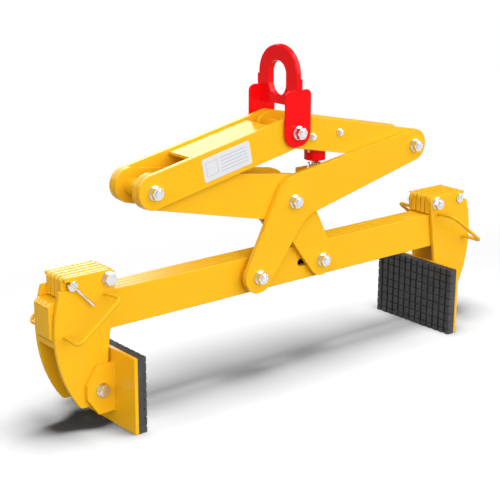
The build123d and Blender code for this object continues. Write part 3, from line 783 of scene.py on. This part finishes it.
@dataclass
class RatingPlate:
    """Bare plate on the front of the left link, with blank ruled lines and an empty box."""

    length: float = 157.0 * MM
    height: float = 63.0 * MM
    thickness: float = 0.9 * MM
    edge: float = 0.3 * MM
    corner: float = 6.0 * MM
    corner_steps: int = 6
    from_pivot: float = 236.0 * MM
    rules: int = 5
    rule_length: float = 88.0 * MM
    rule_width: float = 1.0 * MM
    rule_rise: float = 0.12 * MM
    rule_pitch: float = 9.0 * MM
    rule_offset: float = 23.0 * MM
    box_side: float = 36.0 * MM
    box_offset: float = -50.0 * MM

    def place(self, frame: dict[str, Any]) -> Matrix:
        """Where the plate lies on the link.


        Returns:
            The plate's axes: along the link, up, and out of its front.
        """
        joints = {joint["name"]: Vector(joint["pos_m"]) for joint in frame["joints"] if "pos_m" in joint}
        top = joints["eye_swing"]
        along = (top - joints["left_link_pivot"]).normalized()
        up = Vector((-along.z, 0.0, along.x))
        out = along.cross(up)
        origin = top - along * self.from_pivot
        origin.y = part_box("left_link_front")[0].y
        return frame_matrix(origin, along, up, out)

    def sheet(self) -> bpy.types.Mesh:
        """Mesh of the plate in its own axes.

        Returns:
            The mesh.
        """
        work = bmesh.new()
        outline = []
        for quarter in range(4):
            centre_x = (self.length / 2 - self.corner) * (1 if quarter in (0, 3) else -1)
            centre_y = (self.height / 2 - self.corner) * (1 if quarter in (0, 1) else -1)
            for step in range(self.corner_steps + 1):
                angle = math.radians(90.0 * (quarter + step / self.corner_steps))
                x = centre_x + self.corner * math.cos(angle)
                y = centre_y + self.corner * math.sin(angle)
                outline.append(work.verts.new((x, y, 0.0)))
        face = work.faces.new(outline)
        walls = bmesh.ops.extrude_face_region(work, geom=[face])
        top = [item for item in walls["geom"] if isinstance(item, bmesh.types.BMFace)][0]
        bmesh.ops.translate(work, verts=top.verts, vec=(0.0, 0.0, self.thickness - self.edge))
        bmesh.ops.inset_region(work, faces=[top], thickness=self.edge, depth=self.edge)
        bmesh.ops.recalc_face_normals(work, faces=work.faces)
        mesh = bpy.data.meshes.new("rating_plate")
        work.to_mesh(mesh)
        work.free()
        return mesh

    def lines(self) -> Grown:
        """Geometry tree of the ruled lines and the empty box.

        Returns:
            The tree, ready to run.
        """
        grown = Grown("blank_rules", {
            "Rules": self.rules, "Rule Length": self.rule_length, "Rule Width": self.rule_width,
            "Rule Rise": self.rule_rise, "Rule Pitch": self.rule_pitch, "Rule Offset": self.rule_offset,
            "Box Side": self.box_side, "Box Offset": self.box_offset, "Thickness": self.thickness,
        })
        tree = grown.tree
        size = grown.size
        extent = tree.vector(size("Rule Length"), size("Rule Width"), size("Rule Rise"))
        bar = tree.add("GeometryNodeMeshCube", None, {"Size": extent}).term()
        lowest = (1 - size("Rules")) * size("Rule Pitch") / 2
        first = tree.vector(size("Rule Offset"), lowest, size("Thickness"))
        step = tree.vector(y=size("Rule Pitch"))
        rows = tree.add("GeometryNodeMeshLine", {"mode": "OFFSET"},
                        {"Count": size("Rules"), "Start Location": first, "Offset": step}).term()
        ruled = tree.add("GeometryNodeInstanceOnPoints", None, {"Points": rows, "Instance": bar}).term()
        frame = tree.add("GeometryNodeCurvePrimitiveQuadrilateral", None,
                         {"Width": size("Box Side"), "Height": size("Box Side")}).term()
        profile = tree.add("GeometryNodeCurvePrimitiveQuadrilateral", None,
                           {"Width": size("Rule Width"), "Height": size("Rule Rise")}).term()
        edged = tree.add("GeometryNodeCurveToMesh", None, {"Curve": frame, "Profile Curve": profile}).term()
        beside = tree.vector(size("Box Offset"), z=size("Thickness"))
        boxed = tree.add("GeometryNodeTransform", None, {"Geometry": edged, "Translation": beside}).term()
        grown.close(tree.add("GeometryNodeJoinGeometry", None, {0: [ruled, boxed]}).term())
        return grown

    def build(self, frame: dict[str, Any], shop: Paintshop) -> None:
        """Makes the plate and its blank lines.

        Args:
            shop: the finishes.
        """
        place = self.place(frame)
        mesh = self.sheet()
        mesh.transform(place)
        mesh.materials.append(shop.sheet)
        settle(add_piece("rating_plate", mesh), "left_link", Slot.ZINC)
        settle(self.lines().grow("rating_plate_rules", shop.ink, place), "left_link", Slot.ZINC)


@dataclass
class LatchScrew:
    """Socket screw in the side of the latch housing."""

    radius: float = 4.6 * MM
    rise: float = 2.2 * MM
    ease: float = 0.6 * MM
    socket: float = 2.5 * MM
    socket_foot: float = 2.25 * MM
    socket_depth: float = 1.9 * MM
    sink: float = 1.5 * MM
    steps: int = 24
    way: Vector = Vector((-0.964, -0.267, 0.0))
    above_foot: float = 27.0 * MM

    def build(self, shop: Paintshop) -> None:
        """Turns the screw's profile and sets it in the housing.

        Args:
            shop: the finishes.
        """
        low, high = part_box("latch_housing")
        out = self.way.normalized()
        side = Vector((0.0, 0.0, 1.0)).cross(out)
        origin = Vector(((low.x + high.x) / 2, (low.y + high.y) / 2, low.z + self.above_foot))
        origin += out * (high.x - low.x) / 2
        profile = [(self.radius, -self.sink), (self.radius, self.rise - self.ease),
                   (self.radius - self.ease, self.rise), (self.socket, self.rise),
                   (self.socket_foot, self.rise - self.socket_depth)]
        work = bmesh.new()
        rings = []
        for radius, height in profile:
            ring = []
            for step in range(self.steps):
                angle = 2 * math.pi * step / self.steps
                ring.append(work.verts.new((radius * math.cos(angle), radius * math.sin(angle), height)))
            rings.append(ring)
        for lower, upper in zip(rings, rings[1:]):
            for step in range(self.steps):
                after = (step + 1) % self.steps
                work.faces.new((lower[step], lower[after], upper[after], upper[step]))
        work.faces.new(rings[-1])
        work.faces.new(rings[0][::-1])
        bmesh.ops.recalc_face_normals(work, faces=work.faces)
        mesh = bpy.data.meshes.new("latch_screw")
        work.to_mesh(mesh)
        work.free()
        mesh.transform(frame_matrix(origin, side, Vector((0.0, 0.0, 1.0)), out))
        mesh.materials.append(shop.by_slot[Slot.ZINC])
        settle(add_piece("latch_screw", mesh), "right_link", Slot.ZINC)


Run = tuple[list[Vector], bool]


@dataclass
class WeldSeams:
    """Slim welds round the handle feet, along the pad lugs and on the eye plate."""

    bead: float = 1.6 * MM
    ripple: float = 0.16
    ripple_pitch: float = 3.2 * MM
    step: float = 0.8 * MM
    handle_rod: float = 5.0 * MM
    splay_along: float = 3.0 * MM
    splay_up: float = 2.25 * MM
    lug_plate: float = 12.0 * MM
    cheek_margin: float = 6.4 * MM
    bead_sides: int = 10
    ring_points: int = 24

    def tree(self) -> Grown:
        """Geometry tree that lays a rippled bead along curves.

        Returns:
            The tree, ready to run.
        """
        grown = Grown("weld_bead", {
            "Bead": self.bead, "Ripple": self.ripple, "Ripple Pitch": self.ripple_pitch, "Step": self.step,
        }, takes_curve=True)
        tree = grown.tree
        size = grown.size
        even = tree.add("GeometryNodeResampleCurve", {"mode": "LENGTH"},
                        {"Curve": size("Geometry"), "Length": size("Step")}).term()
        run = tree.add("GeometryNodeSplineParameter").term("Length")
        wave = (run / size("Ripple Pitch") * (2 * math.pi)).sine()
        radius = size("Bead") * (1 + wave * size("Ripple"))
        inputs = {"Resolution": self.bead_sides, "Radius": 1.0}
        ring = tree.add("GeometryNodeCurvePrimitiveCircle", None, inputs).term()
        bead = tree.add("GeometryNodeCurveToMesh", None,
                        {"Curve": even, "Profile Curve": ring, "Scale": radius, "Fill Caps": True}).term()
        grown.close(bead)
        return grown

    def lay(self, name: str, body: str, slot: Slot, runs: list[Run], shop: Paintshop) -> None:
        """Makes the beads of one body.

        Args:
            name: name of the piece.
            body: the body that carries it.
            slot: paint over the welds.
            runs: points of each bead, and whether it closes on itself.
            shop: the finishes.
        """
        data = bpy.data.curves.new(name, "CURVE")
        data.dimensions = "3D"
        for points, closed in runs:
            spline = data.splines.new("POLY")
            spline.points.add(len(points) - 1)
            spline.use_cyclic_u = closed
            for place, point in zip(spline.points, points):
                place.co = (*point, 1.0)
        base = bpy.data.objects.new(name + "_path", data)
        bpy.context.scene.collection.objects.link(base)
        settle(self.tree().grow(name, shop.by_slot[slot], Matrix.Identity(4), base), body, slot)

    def ring(self, centre: Vector, radius: float) -> list[Vector]:
        """Points of an upright ring that faces along Y.

        Args:
            centre: middle of the ring.
            radius: its radius.

        Returns:
            The points.
        """
        turn = 2 * math.pi / self.ring_points
        return [centre + radius * Vector((math.cos(turn * index), 0.0, math.sin(turn * index)))
                for index in range(self.ring_points)]

    def handle_feet(self, side: str) -> list[Run]:
        """Rings round the feet of a jaw's two handles.

        Args:
            side: left or right.

        Returns:
            The four rings.
        """
        low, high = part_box(side + "_handles")
        rod = self.handle_rod
        inset = rod + self.splay_along
        top, foot = high.z - rod - self.splay_up, low.z + rod + self.splay_up
        ends = [(high.x - inset, top), (low.x + inset, foot)]
        if side == "right":
            ends = [(low.x + inset, top), (high.x - inset, foot)]
        plates = [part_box(side + name) for name in ("_side_front", "_side_rear")]
        faces = (min(plate[0].y for plate in plates), max(plate[1].y for plate in plates))
        return [(self.ring(Vector((x, y, z)), rod), True) for x, z in ends for y in faces]

    def lug_edges(self, side: str) -> list[Run]:
        """Runs round three sides of a pad's lugs.

        Args:
            side: left or right.

        Returns:
            The two runs.
        """
        low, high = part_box(side + "_pad_lugs")
        back = high.x if side == "left" else low.x
        runs = []
        for outer, inner in ((low.y, low.y + self.lug_plate), (high.y, high.y - self.lug_plate)):
            corners = ((inner, high.z), (outer, high.z), (outer, low.z), (inner, low.z))
            runs.append(([Vector((back, y, z)) for y, z in corners], False))
        return runs

    def eye_edges(self) -> list[Run]:
        """Runs where the eye plate meets its cheeks.

        Returns:
            The four runs.
        """
        low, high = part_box("eye_plate")
        front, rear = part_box("eye_cheek_front")[1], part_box("eye_cheek_rear")[0]
        foot = low.z + self.bead
        head = front.z - self.cheek_margin
        corners = [(x, y) for x in (low.x, high.x) for y in (front.y, rear.y)]
        return [([Vector((x, y, foot)), Vector((x, y, head))], False) for x, y in corners]

    def build(self, shop: Paintshop) -> None:
        """Makes every seam.

        Args:
            shop: the finishes.
        """
        for side in ("left", "right"):
            self.lay(side + "_handle_welds", side + "_jaw", Slot.YELLOW, self.handle_feet(side), shop)
            self.lay(side + "_lug_welds", side + "_pad", Slot.YELLOW, self.lug_edges(side), shop)
        self.lay("eye_welds", "lifting_eye", Slot.RED, self.eye_edges(), shop)


class LitBy(Enum):
    """What a lamp does with the floor: leaves it out, or lights it alone."""

    CLAMP = "EXCLUDE"
    FLOOR = "INCLUDE"


@dataclass(frozen=True)
class Lamp:
    """A soft lamp: which way it stands, how far off, how large and how strong."""

    name: str
    way: Vector
    distance: float
    width: float
    height: float
    power: float
    lit: LitBy


@dataclass
class Studio:
    """Camera, pale floor and soft light."""

    camera_place: Vector = Vector((-2.20297, -2.55273, 1.34593))
    heading: float = 39.4895
    tilt: float = 16.724
    roll: float = 0.313
    lens: float = 91.7287
    sensor: float = 36.0
    floor_half: float = 30.0
    floor_drop: float = 0.5 * MM
    floor_squeeze: tuple[float, float, float] = (0.8, 1.15, 1.0)
    floor_bounce: float = 0.01
    floor_shade: float = 0.05
    fade_start: float = 0.85
    fade_end: float = 1.5
    fill: float = 0.48
    front_fill: float = 2.64
    gloss_fill: float = 0.8
    front_way: Vector = Vector((-0.2, -0.98, 0.0))
    aim_height: float = 400.0 * MM
    window_edge: float = 34.5
    window_sill: tuple[float, float] = (0.2, 0.28)
    window_head: tuple[float, float] = (0.55, 0.75)
    window_gain: float = 7.0
    edge_blur: float = 0.03
    strip_side: float = 0.609
    strip_gain: float = 10.0
    lamps: tuple[Lamp, ...] = (
        Lamp("behind", Vector((0.25, 0.55, 0.8)), 5.0, 3.0, 3.0, 95.0, LitBy.CLAMP),
        Lamp("floor_light", Vector((0.0, -0.06, 1.0)), 4.0, 2.2, 2.2, 3650.0, LitBy.FLOOR),
    )

    def camera(self) -> None:
        """Sets up the camera at the photograph's viewing angle."""
        data = bpy.data.cameras.new("camera")
        data.lens = self.lens
        data.sensor_width = self.sensor
        data.clip_end = 100.0
        heading = math.radians(self.heading)
        tilt = math.radians(self.tilt)
        level = Vector((math.sin(heading), math.cos(heading), 0.0)) * math.cos(tilt)
        ahead = level - Vector((0.0, 0.0, math.sin(tilt)))
        right = Vector((math.cos(heading), -math.sin(heading), 0.0))
        axes = frame_matrix(self.camera_place, right, right.cross(ahead), -ahead)
        camera = bpy.data.objects.new("camera", data)
        camera.matrix_world = axes @ Matrix.Rotation(math.radians(self.roll), 4, "Z")
        bpy.context.scene.collection.objects.link(camera)
        bpy.context.scene.camera = camera

    def floor(self) -> bpy.types.Object:
        """Lays the floor, which keeps the clamp's shadow and fades to white away from it.

        Returns:
            The floor.
        """
        material = bpy.data.materials.new("pale_floor")
        material.use_nodes = True
        tree = Tree(material.node_tree)
        place = tree.add("ShaderNodeTexCoord").term("Object")
        inputs = {0: place, 1: self.floor_squeeze}
        oval = tree.add("ShaderNodeVectorMath", {"operation": "MULTIPLY"}, inputs).term()
        reach = tree.add("ShaderNodeVectorMath", {"operation": "LENGTH"}, {0: oval}).term("Value")
        path = tree.add("ShaderNodeLightPath")
        seen = path.term("Is Camera Ray") + path.term("Is Glossy Ray") + path.term("Is Transmission Ray")
        level = self.floor_bounce + self.floor_shade * seen
        colour = tree.add("ShaderNodeCombineColor", None, {0: level, 1: level, 2: level}).term()
        matt = tree.add("ShaderNodeBsdfDiffuse", None, {"Color": colour}).term()
        white = tree.add("ShaderNodeEmission", None, {"Strength": 1.0}).term()
        fade = reach.smooth(self.fade_start, self.fade_end) * seen
        mixed = tree.add("ShaderNodeMixShader", None, {0: fade, 1: matt, 2: white}).term()
        tree.add("ShaderNodeOutputMaterial", None, {"Surface": mixed})
        half = self.floor_half
        corners = [(-half, -half, 0.0), (half, -half, 0.0), (half, half, 0.0), (-half, half, 0.0)]
        mesh = bpy.data.meshes.new("floor")
        mesh.from_pydata(corners, [], [(0, 1, 2, 3)])
        mesh.materials.append(material)
        floor = add_piece("floor", mesh)
        floor.location.z = -self.floor_drop
        return floor

    def world(self) -> None:
        """White all round; the gloss sees a window and a curtain behind and a bright strip in front."""
        world = bpy.data.worlds.new("studio")
        world.use_nodes = True
        bpy.context.scene.world = world
        tree = Tree(world.node_tree)
        path = tree.add("ShaderNodeLightPath")
        camera = path.term("Is Camera Ray")
        shiny = path.term("Is Glossy Ray") + path.term("Is Transmission Ray")
        x, y, z = tree.parts(tree.add("ShaderNodeTexCoord").term("Generated"))
        edge = math.radians(self.window_edge)
        blur = self.edge_blur
        right = (x * math.cos(edge) - y * math.sin(edge)).smooth(-blur, blur)
        behind = (x * math.sin(edge) + y * math.cos(edge)).smooth(0.2, 0.45)
        low = 1 - z.smooth(*self.window_head)
        curtain = behind * right * low
        window = behind * (1 - right) * low * z.smooth(*self.window_sill)
        strip = 1 - (x - self.strip_side).size().smooth(0.1, 0.14)
        strip = strip * (0 - y).smooth(0.02, 0.1) * z.smooth(-blur, blur)
        gloss = 1 - curtain + self.window_gain * window + self.strip_gain * strip
        front = x * self.front_way.x + y * self.front_way.y
        soft = self.fill + self.front_fill * front.at_least(0.0)
        strength = camera + (1 - camera) * (shiny * self.gloss_fill * gloss + (1 - shiny) * soft)
        white = {"Color": opaque((1.0, 1.0, 1.0)), "Strength": strength}
        back = tree.add("ShaderNodeBackground", None, white).term()
        tree.add("ShaderNodeOutputWorld", None, {"Surface": back})

    def light(self, lamp: Lamp, floor: bpy.types.Object) -> None:
        """Adds one soft lamp.

        Args:
            lamp: its place, size and power.
            floor: the floor, which a lamp lights alone or leaves out.
        """
        data = bpy.data.lights.new(lamp.name, "AREA")
        data.shape = "RECTANGLE"
        data.size = lamp.width
        data.size_y = lamp.height
        data.energy = lamp.power
        way = lamp.way.normalized()
        piece = bpy.data.objects.new(lamp.name, data)
        piece.location = Vector((0.0, 0.0, self.aim_height)) + way * lamp.distance
        piece.rotation_mode = "QUATERNION"
        piece.rotation_quaternion = way.to_track_quat("Z", "Y")
        piece.visible_glossy = False
        bpy.context.scene.collection.objects.link(piece)
        lit = bpy.data.collections.new(lamp.name + "_lights")
        lit.objects.link(floor)
        lit.collection_objects[0].light_linking.link_state = lamp.lit.value
        piece.light_linking.receiver_collection = lit

    def build(self) -> None:
        """Sets the whole stage."""
        bpy.context.scene.view_settings.view_transform = "Standard"
        self.camera()
        self.world()
        floor = self.floor()
        for lamp in self.lamps:
            self.light(lamp, floor)


def main() -> None:
    """Builds the scene."""
    logging.basicConfig(level=logging.INFO, format="%(message)s")
    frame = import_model()
    Studio().build()
    shop = Paintshop()
    shop.dress_nodes(frame)
    for side in ("left", "right"):
        RubberFacing(side).build(shop)
    RatingPlate().build(frame, shop)
    LatchScrew().build(shop)
    WeldSeams().build(shop)


if __name__ == "__main__":
    main()
